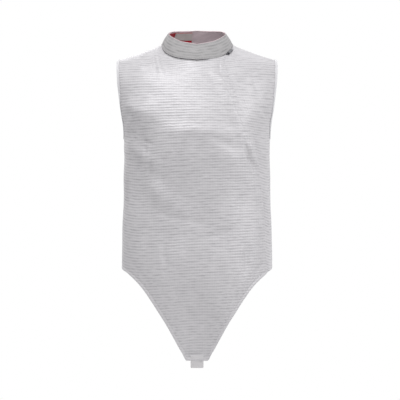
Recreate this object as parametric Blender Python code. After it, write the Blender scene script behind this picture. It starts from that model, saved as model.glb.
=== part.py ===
"""Electric foil jacket: a sleeveless metal-woven fencing jacket in its worn, hollow form.

The front faces -Y, the wearer's left is +X and +Z is up. The origin is the middle of the neck, level with
the tops of the shoulders. Sizes are in millimetres here and become metres when a mesh is made.
"""

from math import atan2, cos, hypot, radians, sin

import bmesh
import bpy
import numpy as np
from mathutils import Matrix, Vector

MM = 0.001

# Cloth and seams
CLOTH = 1.8
LINING = 1.2
TAPE = 1.0
SEAM_GAP = 0.3

# Neck, shoulders and armholes
NECK_HALF_WIDTH = 87.0
NECK_FRONT = 86.0
NECK_BACK = 80.0
NECK_SHARE = 0.384
SHOULDER_TIP_X = 194.5
SHOULDER_TIP_Z = -34.2
SHOULDER_DIP = 2.8
SHOULDER_SAG = 1.8
ARMHOLE_MIDDLE = -110.0
UNDERARM = -225.0
ARMHOLE_REACH = {"front": 52.0, "back": 54.0}
ARMHOLE_DRAW = 0.5
SHOULDER_LEAD = 0.42
NECK_FAN = 30.0
CHEST_SLOPE = 66.0
NAPE_SLOPE = 48.0
STEEP_END = 1.5

# Length
HIP = -520.0
SIDE_HEM = -541.0

# Closing flap, as shares of the main front's width counted back from its free edge
FLAP_FOOT = 0.13
FLAP_FULL = 0.060
ZIP_INNER = 0.052
ZIP_OUTER = 0.0305
UNDERLAP = 0.029

# Bindings, collar and tab
BINDING_WIDTH = 6.5
BINDING_SLACK = 0.8
COLLAR_LAP_END = 80
COLLAR_STEP = 10
COLLAR_LAP_STATIONS = 2
COLLAR_SEAT = 0.45
COLLAR_HEIGHT = 40.0
COLLAR_BOW = 1.6
COLLAR_ROWS = [0.4, 0.7]
LINING_ROWS = [0.04, *COLLAR_ROWS, 0.965]
LAP_RISE = 1.1
LINING_END_GAP = 0.3
PATCH_ANGLES = (-100, -170)
PATCH_ROWS = [0.1, *COLLAR_ROWS, 0.93]
LABEL_ANGLES = (-130, -170)
LABEL_ROWS = [*COLLAR_ROWS, 0.91]
TAB_WIDTH = 30.6
TAB_DROP = 17.8
TAB_UNDER = 12.0
TAB_THICKNESS = 2.2

COLOURS = {
    "lame": (0.66, 0.65, 0.67),
    "lining": (0.31, 0.24, 0.26),
    "crimson": (0.45, 0.03, 0.04),
    "label": (0.42, 0.44, 0.42),
    "binding": (0.72, 0.71, 0.73),
    "webbing": (0.58, 0.56, 0.57),
    "tape": (0.55, 0.54, 0.56),
    "zip_metal": (0.16, 0.16, 0.17),
}
METAL = {"zip_metal"}


def table(text):
    """A table written as text: the first line names its columns, and each row starts with its own name."""
    lines = [line.split() for line in text.strip().splitlines()]
    columns = {heading: [] for heading in lines[0][1:]}
    for line in lines[1:]:
        for heading, value in zip(lines[0][1:], line[1:]):
            columns[heading].append(float(value))
    return {heading: np.array(values) for heading, values in columns.items()}


# Level sections of the body: half width with no armholes, reach of the front and back, squareness
BODY = table("""
    section      z     half_x  front   back   square
    armhole    -110    208.0   109.0   121.0  2.25
    upper      -150    197.2   118.0   129.5  2.25
    chest      -190    184.2   124.5   133.0  2.28
    underarm   -225    177.6   127.5   131.5  2.30
    ribs       -262    177.3   126.0   126.5  2.32
    midriff    -320    178.9   119.0   115.0  2.36
    waist      -385    179.8   113.5   105.5  2.40
    flank      -450    182.2   112.5   106.5  2.40
    hip        -520    183.3   115.0   113.0  2.40
    hem        -545    183.3   115.2   115.5  2.40
    thigh      -620    183.3   112.0   116.0  2.40
    groin      -690    183.3   104.0   116.0  2.40
    point      -757    183.3    93.0   116.0  2.40
    below      -790    183.3    86.5   116.0  2.40
""")

# Collar by angle round the neck, 0 at the centre front: height of its seam, and reach and height of its rim
COLLAR = table("""
    place      angle  seam_z  rim_x   rim_y   rim_z
    front        0    -42.0   71.0    -76.0   -3.0
    cheek       30    -36.0   71.0    -76.0    4.5
    jaw         60    -19.5   71.0    -76.0   19.0
    side        90      6.0   70.6      0.0   33.0
    nape_side  130     12.0   70.6     66.0   44.0
    nape       180     13.0   70.6     66.0   48.5
""")

# Hem of the main front: distance from the centre, and height of the cut edge
FRONT_HEM = table("""
    place        across   z
    centre         0.0   -757.0
    tip           28.2   -757.0
    tip_corner    29.0   -753.5
    low           43.5   -725.5
    lower         58.9   -696.7
    middle        74.7   -668.3
    higher        92.7   -640.0
    thigh        110.9   -611.9
    curve        131.1   -584.0
    flank        143.5   -570.3
    turn         159.0   -556.9
    corner       170.7   -548.2
    side         180.0   -543.5
    seam         183.3   -541.0
""")

# Free edge of the closing flap, on the front as seen from ahead
FLAP_EDGE = table("""
    place        z       x
    neck        -30.0    64.0
    collarbone  -60.0    67.8
    breast      -88.0    78.0
    chest      -145.0    99.0
    ribs       -208.0   125.0
    midriff    -255.0   141.0
    waist      -326.0   149.0
    flank      -412.0   158.5
    hip        -510.0   163.5
    hem        -545.0   165.0
""")

# Largest folds, as seen from ahead or behind: middle, lean from upright, half length, half width and height
FRONT_FOLDS = table("""
    fold              x      z     lean  half_length  half_width  height
    side_hollow     -140   -285     -14      72          15        -4.2
    side_roll       -171   -330      -4      48           9         2.8
    pinch           -126   -252       6      24           6        -2.4
    waist_right      -86   -312     -10      36           8        -2.0
    hip_right        -76   -515       2      36           7        -2.2
    breast_left       66   -243      72      34          13        -3.0
    waist_left       100   -385      -8      40           9        -2.2
    hip_left         117   -508       0      38           7        -2.4
    point_dent       -94   -580      12      16           8        -1.6
    shoulder_right  -128    -45      38      34           8        -2.2
    armhole_left     137    -92      14      30           7        -2.0
    shoulder_left    118    -30     -26      24           7        -1.8
""")
BACK_FOLDS = table("""
    fold              x      z     lean  half_length  half_width  height
    blade_right      -95   -150      24      52          14        -3.2
    blade_left       104   -165     -20      46          13        -2.8
    waist_right     -112   -345     -12      62          13        -3.6
    waist_left       120   -330      14      66          12        -3.4
    small_of_back     10   -395      78      60          14        -3.0
    hip_right        -58   -490       4      40           9        -2.2
    hip_left          83   -500      -6      36           8        -2.2
""")
FOLDS = {"front": FRONT_FOLDS, "back": BACK_FOLDS}
FACING = {"front": -1.0, "back": 1.0}


def curve(x, y, at):
    """A smooth curve through the points (x, y) that never overshoots them, read at the given places."""
    order = np.argsort(x)
    x, y = np.asarray(x, float)[order], np.asarray(y, float)[order]
    rise = np.diff(y) / np.diff(x)
    slope = np.zeros(len(x))
    slope[0], slope[-1] = rise[0], rise[-1]
    both = rise[:-1] * rise[1:] > 0
    slope[1:-1][both] = 2 * rise[:-1][both] * rise[1:][both] / (rise[:-1][both] + rise[1:][both])
    at = np.clip(at, x[0], x[-1])
    span = np.clip(np.searchsorted(x, at, side="right") - 1, 0, len(x) - 2)
    width = x[span + 1] - x[span]
    t = (at - x[span]) / width
    return (
        y[span] * (1 + 2 * t) * (1 - t) ** 2
        + y[span + 1] * (3 - 2 * t) * t**2
        + slope[span] * width * t * (1 - t) ** 2
        - slope[span + 1] * width * (1 - t) * t**2
    )


def body(column, z):
    """One column of the body's table at height z."""
    return float(curve(BODY["z"], BODY[column], z))


def ease(low, high, value):
    """0 below low, 1 above high, and a soft step between."""
    t = np.clip((value - low) / (high - low), 0, 1)
    return t * t * (3 - 2 * t)


def collar_height(column, angle):
    """A height from the collar's table, the same on both sides of the neck."""
    turn = np.abs((np.asarray(angle, float) + 180) % 360 - 180)
    return curve(COLLAR["angle"], COLLAR[column], turn)


def neck_seam(angle):
    """Points of the seam where the collar meets the panels, by angle from the centre front."""
    turn = np.radians(angle)
    reach = np.where(np.cos(turn) > 0, NECK_FRONT, NECK_BACK)
    height = collar_height("seam_z", angle)
    return np.stack([NECK_HALF_WIDTH * np.sin(turn), -reach * np.cos(turn), height], -1)


def armhole_reach(side, z):
    """How far the armhole's edge stands forward or back of the side seam at height z."""
    down = min(1.0, (ARMHOLE_MIDDLE - z) / (ARMHOLE_MIDDLE - UNDERARM))
    return ARMHOLE_REACH[side] * max(0.0, 1 - down * down) ** 0.5


def level_row(side, z, u):
    """Points of a level row: u is -1 and 1 at the panel's side edges and 0 at its centre. Beside an armhole
    only the columns near the edge draw in."""
    power = body("square", z)
    edge_y = armhole_reach(side, z)
    turn = np.linspace(0, np.pi / 2, 320)
    x = body("half_x", z) * np.sin(turn) ** (2 / power)
    y = body(side, z) * np.abs(np.cos(turn)) ** (2 / power)
    y[-1] = 0
    run = np.concatenate([[0], np.cumsum(np.hypot(np.diff(x), np.diff(y)))])
    share = np.abs(u) * run[-1]
    if edge_y > 0:
        cut = run[-1] - np.interp(edge_y, y[::-1], run[::-1])
        share = share - cut * np.abs(u) ** (ARMHOLE_DRAW * run[-1] / cut)
    along = np.sign(u) * np.interp(share, run, x)
    return np.stack([along, FACING[side] * np.interp(share, run, y), np.full(len(u), z)], -1)


def top_edge(side, u):
    """Points of a panel's top edge: half the neckline in the middle, a shoulder seam on each side."""
    share, sign = np.abs(u), np.where(u < 0, -1, 1)
    angle = 90 * np.minimum(share / NECK_SHARE, 1)
    neck = neck_seam(angle if side == "front" else 180 - angle)
    out = np.clip((share - NECK_SHARE) / (1 - NECK_SHARE), 0, 1)
    neck_z = neck_seam(90.0)[2]
    x = np.where(share < NECK_SHARE, neck[:, 0], NECK_HALF_WIDTH + out * (SHOULDER_TIP_X - NECK_HALF_WIDTH))
    y = np.where(share < NECK_SHARE, neck[:, 1], 0)
    sag = SHOULDER_DIP * (1 - np.exp(-out * 12)) * (1 - out) + SHOULDER_SAG * np.sin(np.pi * out)
    z = np.where(share < NECK_SHARE, neck[:, 2], neck_z + out * (SHOULDER_TIP_Z - neck_z) - sag)
    return np.stack([sign * x, y, z], -1)


def top_lead(side, u):
    """Unit directions in which the cloth leaves the top edge: steep below the neck's middle, level over the
    shoulder seam, and fanned outwards beside the neck."""
    share, sign = np.abs(u), np.where(u < 0, -1, 1)
    out = np.clip((share - NECK_SHARE) / (1 - NECK_SHARE), 0, 1)
    shoulder_fall = (neck_seam(90.0)[2] - SHOULDER_TIP_Z) / (SHOULDER_TIP_X - NECK_HALF_WIDTH)
    fan = np.radians(NECK_FAN) * np.where(share < NECK_SHARE, share / NECK_SHARE, 1 - ease(0, 0.8, out))
    middle = CHEST_SLOPE if side == "front" else NAPE_SLOPE
    steep = np.tan(np.radians(middle * (1 - ease(0, STEEP_END, share / NECK_SHARE))))
    fall = steep + shoulder_fall * np.sin(fan)
    lead = np.stack([sign * np.sin(fan), FACING[side] * np.cos(fan), -fall], -1)
    return lead / np.linalg.norm(lead, axis=1)[:, None]


def upper_row(side, v, u):
    """Points between the top edge, v = 0, and the level row at the armhole's middle, v = 1."""
    top, foot = top_edge(side, u), level_row(side, ARMHOLE_MIDDLE, u)
    under = level_row(side, ARMHOLE_MIDDLE - 8, u)
    lead = SHOULDER_LEAD * np.linalg.norm(top - foot, axis=1)[:, None]
    rising = (foot - under) / np.linalg.norm(foot - under, axis=1)[:, None]
    after, before = top + lead * top_lead(side, u), foot + lead * rising
    w = 1 - v
    return w**3 * top + 3 * w * w * v * after + 3 * w * v * v * before + v**3 * foot


def apron_row(side, drop, u):
    """Points below the hip: drop is 0 at the hip and 1 at the hem, and the columns hang straight."""
    points = level_row(side, HIP, u)
    if side == "front":
        hem = curve(FRONT_HEM["across"], FRONT_HEM["z"], np.abs(points[:, 0]))
    else:
        hem = np.full(len(u), SIDE_HEM)
    points[:, 2] += drop * (hem - HIP)
    points[:, 1] *= curve(BODY["z"], BODY[side], points[:, 2]) / body(side, HIP)
    return points


def smooth_row(side, v, u):
    """Points of a row with no folds. v is 0 at the top edge, 1 at the armhole's middle, 2 at the underarm,
    3 at the hip and 4 at the hem."""
    u = np.asarray(u, float)
    if v < 1:
        return upper_row(side, v, u)
    if v < 2:
        fall = sin(radians(90 * (v - 1)))
        return level_row(side, ARMHOLE_MIDDLE + fall * (UNDERARM - ARMHOLE_MIDDLE), u)
    if v < 3:
        return level_row(side, UNDERARM + (v - 2) * (HIP - UNDERARM), u)
    return apron_row(side, v - 3, u)


def fold_height(side, points):
    """How far the folds move points of a panel out."""
    total = np.zeros(len(points))
    folds = FOLDS[side]
    for i in range(len(folds["x"])):
        lean = radians(folds["lean"][i])
        dx, dz = points[:, 0] - folds["x"][i], points[:, 2] - folds["z"][i]
        across = (dx * cos(lean) + dz * sin(lean)) / folds["half_width"][i]
        along = (-dx * sin(lean) + dz * cos(lean)) / folds["half_length"][i]
        total += folds["height"][i] * np.exp(-across * across - along * along)
    return total


def panel_row(side, v, u):
    """Points and outward directions of a row, with folds that fade out before the seams."""
    u = np.asarray(u, float)
    step_u = step_v = 0.01
    points = smooth_row(side, v, u)
    run = smooth_row(side, v, np.minimum(u + step_u, 1)) - smooth_row(side, v, np.maximum(u - step_u, -1))
    fall = smooth_row(side, min(v + step_v, 4), u) - smooth_row(side, max(v - step_v, 0), u)
    out = np.cross(run, fall) * FACING[side]
    out /= np.linalg.norm(out, axis=1)[:, None]
    fade = ease(0, 0.12, 1 - np.abs(u)) * ease(0, 0.3, v)
    points = points + out * (fade * fold_height(side, points))[:, None]
    points[:, 1] += FACING[side] * SEAM_GAP / 2
    return points, out


def flap_share(v):
    """The u of the flap's free edge on the front in row v."""
    u = np.linspace(0, 0.98, 400)
    points = smooth_row("front", v, u)
    past = points[:, 0] - curve(FLAP_EDGE["z"], FLAP_EDGE["x"], points[:, 2])
    i = int(np.argmax(past > 0))
    return u[i - 1] + (u[i] - u[i - 1]) * past[i - 1] / (past[i - 1] - past[i])


def fill(stations, step):
    """The stations with evenly spaced ones between, none further apart than step."""
    filled = [stations[0]]
    for low, high in zip(stations, stations[1:]):
        count = max(1, int(np.ceil((high - low) / step - 1e-6)))
        filled += [low + (high - low) * k / count for k in range(1, count + 1)]
    return np.array(filled)


ARMHOLE_ROWS = [0, 0.12, 0.27, 0.45, 0.64, 0.82] + [1 + k / 6 for k in range(7)]
TORSO_ROWS = [2.02, 2.05] + [2 + k / 10 for k in range(1, 11)]
APRON_ROWS = [3 + k / 8 for k in range(1, 9)]
FRONT_ROWS = ARMHOLE_ROWS + TORSO_ROWS + APRON_ROWS
BACK_ROWS = ARMHOLE_ROWS + TORSO_ROWS + [4]

TOP_FLAP = flap_share(0)
NECK_ANGLES = np.arange(COLLAR_STEP, 91, COLLAR_STEP) * NECK_SHARE / 90
FRONT_NECK = [(1 + u) / (1 + TOP_FLAP) for u in (*-NECK_ANGLES[::-1], 0, *NECK_ANGLES[:2])]
SIDE_NECK = [(u - TOP_FLAP) / (1 - TOP_FLAP) for u in NECK_ANGLES if u > TOP_FLAP]
HALF_ROW = np.linspace(0, 1, 400)
TIP_SHARE = np.interp(FRONT_HEM["across"][1], level_row("front", HIP, HALF_ROW)[:, 0], HALF_ROW)
TIP_STATION = (1 + TIP_SHARE) / (1 + flap_share(4))
FLAP_STATIONS = [1 - FLAP_FOOT, 1 - FLAP_FULL, 1 - ZIP_INNER, 1 - ZIP_OUTER, 1]
FRONT_STATIONS = fill(sorted([0, 0.035, 0.065, *FRONT_NECK, TIP_STATION, *FLAP_STATIONS]), 0.045)
SIDE_STATIONS = fill([0, *SIDE_NECK, 0.89, 0.94, 1], 0.12)
BACK_STATIONS = fill([-1, -0.95, -0.91, *-NECK_ANGLES[::-1], 0, *NECK_ANGLES, 0.91, 0.95, 1], 0.09)

finishes = {}


def finish(slot):
    """The material of one finish."""
    if slot not in finishes:
        material = bpy.data.materials.new(slot)
        material.use_nodes = True
        shader = material.node_tree.nodes["Principled BSDF"]
        shader.inputs["Base Color"].default_value = (*COLOURS[slot], 1)
        shader.inputs["Roughness"].default_value = 0.35 if slot in METAL else 0.7
        shader.inputs["Metallic"].default_value = 1.0 if slot in METAL else 0.0
        finishes[slot] = material
    return finishes[slot]


def place(name, mesh, slot, collection):
    """An object with its material, in the part's collection."""
    piece = bpy.data.objects.new(name, mesh)
    mesh.materials.append(finish(slot))
    collection.objects.link(piece)
    return piece


def closed_mesh(name, points, faces):
    """A mesh from points in millimetres, with its faces pointing out."""
    mesh = bpy.data.meshes.new(name)
    mesh.from_pydata([tuple(p) for p in np.asarray(points) * MM], [], faces)
    form = bmesh.new()
    form.from_mesh(mesh)
    bmesh.ops.recalc_face_normals(form, faces=form.faces)
    if form.calc_volume(signed=True) < 0:
        bmesh.ops.reverse_faces(form, faces=form.faces)
    form.to_mesh(mesh)
    form.free()
    mesh.shade_smooth()
    return mesh


def wall(name, outer, inner, slot, collection):
    """One cloth wall between two grids of points, closed round its four edges."""
    rows, columns = outer.shape[:2]
    count = rows * columns
    foot, end = rows - 1, columns - 1

    def at(row, column, layer=0):
        return layer * count + row * columns + column

    faces = []
    for i in range(rows - 1):
        for j in range(columns - 1):
            corners = [at(i, j), at(i, j + 1), at(i + 1, j + 1), at(i + 1, j)]
            if outer[i, j, 0] + outer[i + 1, j + 1, 0] > 0:
                corners = corners[1:] + corners[:1]
            for face in (corners[:3], [corners[0], *corners[2:]]):
                faces.append(face)
                faces.append([corner + count for corner in reversed(face)])
    for i in range(rows - 1):
        faces.append([at(i, 0), at(i + 1, 0), at(i + 1, 0, 1), at(i, 0, 1)])
        faces.append([at(i + 1, end), at(i, end), at(i, end, 1), at(i + 1, end, 1)])
    for j in range(columns - 1):
        faces.append([at(0, j + 1), at(0, j), at(0, j, 1), at(0, j + 1, 1)])
        faces.append([at(foot, j), at(foot, j + 1), at(foot, j + 1, 1), at(foot, j, 1)])
    points = np.concatenate([outer.reshape(-1, 3), inner.reshape(-1, 3)])
    return place(name, closed_mesh(name, points, faces), slot, collection)


def ring(name, loops, slot, collection):
    """A closed ring swept through loops of points of equal count."""
    stations, corners = loops.shape[:2]
    faces = []
    for i in range(stations):
        for j in range(corners):
            low, high = i * corners, (i + 1) % stations * corners
            after = (j + 1) % corners
            face = [low + j, low + after, high + after, high + j]
            if (i < stations // 2) != (j == corners - 1):
                face = face[1:] + face[:1]
            faces += [face[:3], [face[0], *face[2:]]]
    return place(name, closed_mesh(name, loops.reshape(-1, 3), faces), slot, collection)


def panel(name, side, rows, row_shares, lift, slot, collection, thickness=CLOTH):
    """A panel: row_shares gives each row's u values, and lift how far each column is moved out."""
    outer, inner = [], []
    for v in rows:
        points, out = panel_row(side, v, row_shares(v))
        outer.append(points + out * lift[:, None])
        inner.append(points + out * (lift - thickness)[:, None])
    return wall(name, np.array(outer), np.array(inner), slot, collection)


# Main front: from the right side seam to the free edge of the closing flap, which stands a wall proud
def front_share(v, stations):
    return -1 + np.asarray(stations, float) * (1 + flap_share(v))


def make_front(collection):
    lift = (CLOTH + SEAM_GAP) * ease(1 - FLAP_FOOT, 1 - FLAP_FULL, FRONT_STATIONS)
    return panel(
        "front_panel", "front", FRONT_ROWS, lambda v: front_share(v, FRONT_STATIONS), lift, "lame", collection
    )


# Left side front: its front edge lies under the flap, and the rest reaches the left side seam
def side_share(v, stations):
    free = flap_share(v)
    return free + np.asarray(stations, float) * (1 - free)


def make_left_side(collection):
    def shares(v):
        return np.concatenate([front_share(v, [1 - UNDERLAP]), side_share(v, SIDE_STATIONS)])

    flat = np.zeros(len(SIDE_STATIONS) + 1)
    return panel("left_side_panel", "front", FRONT_ROWS, shares, flat, "lame", collection)


def make_back(collection):
    flat = np.zeros(len(BACK_STATIONS))
    return panel("back_panel", "back", BACK_ROWS, lambda v: BACK_STATIONS, flat, "lame", collection)


# Zip: a strip of tape and closed chain beside the left side front, all of it under the flap
def make_zip(collection):
    stations = [1 - ZIP_INNER, 1 - ZIP_OUTER]
    rows = FRONT_ROWS[1:-2]
    return panel(
        "front_zip", "front", rows, lambda v: front_share(v, stations), np.zeros(2), "tape", collection
    )


def collar_point(angle, share):
    """A point of the collar's outer face: share is 0 at the neck seam and 1 at the rim."""
    seam = neck_seam(angle)
    share = np.broadcast_to(share, np.shape(angle))[..., None]
    turn = np.radians(angle)
    rim_y = np.where(np.cos(turn) > 0, COLLAR["rim_y"][0], COLLAR["rim_y"][-1])
    rim = np.stack(
        [
            collar_height("rim_x", angle) * np.sin(turn),
            rim_y * np.abs(np.cos(turn)),
            collar_height("rim_z", angle),
        ],
        -1,
    )
    bow = COLLAR_BOW * np.sin(np.pi * share)
    out = np.stack([np.sin(turn), -np.cos(turn), 0 * turn], -1)
    return seam + (rim - seam) * share + out * bow


def collar_face(angle, share):
    """A point of the collar's outer face and the outward direction there."""
    angle = np.asarray(angle, float)
    step = 0.5
    round_neck = collar_point(angle + step, share) - collar_point(angle - step, share)
    up = collar_point(angle, np.minimum(share + 0.01, 1)) - collar_point(angle, np.maximum(share - 0.01, 0))
    out = np.cross(round_neck, up)
    return collar_point(angle, share), out / np.linalg.norm(out, axis=-1)[..., None]


def collar_wall(name, angles, shares, moved_out, thickness, slot, collection):
    """A band that follows the collar, moved out by its own amount at each angle."""
    outer, inner = [], []
    for share in shares:
        points, out = collar_face(angles, share)
        outer.append(points + out * moved_out[:, None])
        inner.append(points + out * (moved_out - thickness)[:, None])
    return wall(name, np.array(outer), np.array(inner), slot, collection)


# Collar: one band that starts at the wearer's left, goes all round the neck and ends under its start
def make_collar(collection):
    stations = 360 // COLLAR_STEP + COLLAR_LAP_STATIONS
    angles = COLLAR_LAP_END - COLLAR_STEP * np.arange(stations + 1.0)
    lift = np.zeros(stations + 1)
    lift[: COLLAR_LAP_STATIONS + 1] = CLOTH + SEAM_GAP
    lift[COLLAR_LAP_STATIONS + 1] = (CLOTH + SEAM_GAP) / 2
    seat = (COLLAR_SEAT + LAP_RISE * lift) / COLLAR_HEIGHT
    collar_wall("collar", angles, [seat, *COLLAR_ROWS, 1.0], lift, CLOTH, "lame", collection)

    lap = COLLAR_LAP_END - COLLAR_STEP * COLLAR_LAP_STATIONS
    inside = lap - COLLAR_STEP * np.arange(360 // COLLAR_STEP + 1.0)
    inside[-1] += LINING_END_GAP
    depth = np.full(len(inside), -(CLOTH + SEAM_GAP))
    collar_wall("collar_lining", inside, LINING_ROWS, depth, LINING, "lining", collection)


# Patch and plain label sewn one on the other inside the neck, at the wearer's right and behind
def make_neck_label(collection):
    behind = CLOTH + SEAM_GAP + LINING + SEAM_GAP
    for name, (first, last), rows, slot in (
        ("neck_patch", PATCH_ANGLES, PATCH_ROWS, "crimson"),
        ("neck_label", LABEL_ANGLES, LABEL_ROWS, "label"),
    ):
        angles = np.arange(first, last - 1.0, -COLLAR_STEP)
        collar_wall(name, angles, rows, np.full(len(angles), -behind), TAPE, slot, collection)
        behind += TAPE + SEAM_GAP


def settle(samples, directions, point):
    """The point moved onto a panel's surface, and the outward direction there."""
    nearest = np.argmin(np.linalg.norm(samples - point, axis=1))
    out = directions[nearest]
    return point - out * np.dot(point - samples[nearest], out), out


# Bindings: a strip folded over the edge of each armhole, all the way round
def binding_station(side, v, sign, samples, directions):
    """The armhole's edge in a row, and the point where the binding ends on the panel, each with its outward
    direction. Below the armhole's middle the binding's width is measured square to the edge."""
    if side == "back":
        share = sign * BACK_STATIONS[-2]
    elif sign < 0:
        share = front_share(v, [FRONT_STATIONS[1]])[0]
    else:
        share = side_share(v, [SIDE_STATIONS[-2]])[0]
    (edge, leg), (out, leg_out) = panel_row(side, v, [sign, share])
    if v > 1.4:
        around = smooth_row(side, v + 0.01, [sign])[0] - smooth_row(side, v - 0.01, [sign])[0]
        back_in = np.cross(around, out)
        back_in *= BINDING_WIDTH / np.linalg.norm(back_in)
        if np.dot(back_in, leg - edge) < 0:
            back_in = -back_in
        leg, leg_out = settle(samples, directions, edge + back_in)
    return np.array([edge, leg, out, leg_out])


def make_bindings(collection):
    shares = np.linspace(0.72, 1, 80)
    for name, sign in (("armhole_binding_right", -1), ("armhole_binding_left", 1)):
        heights = np.linspace(1, 2.4, 90)
        near = [panel_row(side, v, sign * shares) for side in ("front", "back") for v in heights]
        samples = np.concatenate([points for points, _ in near])
        directions = np.concatenate([out for _, out in near])
        rows = ARMHOLE_ROWS[:-1]
        down = [binding_station("front", v, sign, samples, directions) for v in rows]
        up = [binding_station("back", v, sign, samples, directions) for v in rows]
        corner, out = (part[0] for part in panel_row("front", 2, [sign]))
        leg, leg_out = settle(samples, directions, corner + np.array([0, 0, -BINDING_WIDTH]))
        bottom = np.array([corner, leg, out, leg_out])
        bottom[:2, 1] = 0
        stations = np.array([(down[0] + up[0]) / 2, *down[1:], bottom, *reversed(up[1:])])
        loops = []
        for i, (edge, leg, out, leg_out) in enumerate(stations):
            around = stations[(i + 1) % len(stations)][0] - stations[i - 1][0]
            past = np.cross(around, out)
            past /= np.linalg.norm(past) * np.sign(np.dot(past, edge - leg))
            far = SEAM_GAP + TAPE
            under = CLOTH + BINDING_SLACK
            loops.append(
                [
                    leg + leg_out * SEAM_GAP,
                    leg + leg_out * far,
                    edge + past * far + out * far,
                    edge + past * far - out * (under + TAPE),
                    leg - leg_out * (under + TAPE),
                    leg - leg_out * under,
                    edge + past * SEAM_GAP - out * under,
                    edge + past * SEAM_GAP + out * SEAM_GAP,
                ]
            )
        ring(name, np.array(loops), "binding", collection)


# Tab: doubled webbing sewn behind the tip of the point, so that its end hangs below the edge
def make_tab(collection):
    tip = FRONT_HEM["z"][0]
    across = np.array([-TAB_WIDTH / 2, 0, TAB_WIDTH / 2])
    outer, inner = [], []
    slope = (body("front", tip + 20) - body("front", tip)) / 20
    out = np.array([0, -1, -slope]) / hypot(1, slope)
    for z in (tip + TAB_UNDER, tip, tip - TAB_DROP):
        depth = body("front", tip) + slope * (z - tip) + SEAM_GAP / 2
        face = np.array([[x, -depth, z] for x in across]) - out * (CLOTH + SEAM_GAP)
        outer.append(face)
        inner.append(face - out * TAB_THICKNESS)
    return wall("tip_tab", np.array(outer), np.array(inner), "webbing", collection)


def box_at(low, high):
    """A cube scaled and moved to fill the box between two corners, in millimetres."""
    bpy.ops.mesh.primitive_cube_add(size=1)
    block = bpy.context.object
    middle = [(a + b) / 2 for a, b in zip(low, high)]
    size = [b - a for a, b in zip(low, high)]
    block.data.transform(Matrix.Translation(middle) @ Matrix.Diagonal((*size, 1)))
    block.data.transform(Matrix.Scale(MM, 4))
    return block


def rod_at(radius, half_length, x, z, sides=16):
    """A cylinder along local Y."""
    bpy.ops.mesh.primitive_cylinder_add(vertices=sides, radius=radius, depth=2 * half_length)
    rod = bpy.context.object
    rod.data.transform(Matrix.Translation((x, 0, z)) @ Matrix.Rotation(radians(90), 4, "X"))
    rod.data.transform(Matrix.Scale(MM, 4))
    return rod


def join(base, others, operation, cutters):
    """Boolean the other shapes into the base shape, which carries them with it."""
    for other in others:
        change = base.modifiers.new(other.name, "BOOLEAN")
        change.operation = operation
        change.object = other
        other.parent = base
        other.hide_render = True
        other.display_type = "WIRE"
        for home in list(other.users_collection):
            home.objects.unlink(other)
        cutters.objects.link(other)


# Zip slider and pull tab, parked at the neck end of the zip beside the top of the flap
SLIDER_X = 73.2
SLIDER_FROM_SEAM = (2.1, -0.4, -1.1)
PULL_AIM = 70.0
PULL_FROM_SEAM = (2.6, -0.1, -1.3)
PULL_LENGTH = 24.0
PULL_HALF_WIDTH = 2.2
PULL_THICKNESS = 1.0
PULL_CLEARANCE = 0.6
PULL_NECK_START = 1.0
PULL_NECK_LAP = 0.6
MERGE = 0.01
PLATE_START = 2.6
EYE_RADIUS = 1.5
EYE_HOLE = 0.85
EYE_HALF_LENGTH = 1.3
BRIDGE_RADIUS = 0.55
EAR_LENGTH = 2.6
EAR_WIDTH = 1.0
EAR_RISE = 0.9
EAR_ROOT = 0.2
SLIDER_BACK = -6.0
SLIDER_FRONT = 3.4
SLIDER_HALF_WIDTH = 2.9
SLIDER_PLATE = 1.2
SLIDER_SEAT = 0.8
AXIS_HEIGHT = 3.9


def slider_frame():
    """Where the slider sits on the left side front: its point, the way the tab lies, the hinge axis, out, and
    how far the cloth drops away under the tab's end."""
    grid = [panel_row("front", v, np.linspace(0.15, 0.5, 200)) for v in np.linspace(0.0, 0.5, 120)]
    samples = np.concatenate([points for points, _ in grid])
    directions = np.concatenate([out for _, out in grid])
    seam = neck_seam(np.degrees(np.arcsin(SLIDER_X / NECK_HALF_WIDTH)))
    start, out = settle(samples, directions, seam + np.array(SLIDER_FROM_SEAM))
    toward, _ = settle(samples, directions, neck_seam(PULL_AIM) + np.array(PULL_FROM_SEAM))
    along = toward - start
    along -= out * np.dot(along, out)
    along /= np.linalg.norm(along)
    rest, _ = settle(samples, directions, start + along * PULL_LENGTH)
    return start, along, np.cross(out, along), out, np.dot(rest - start, out)


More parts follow.
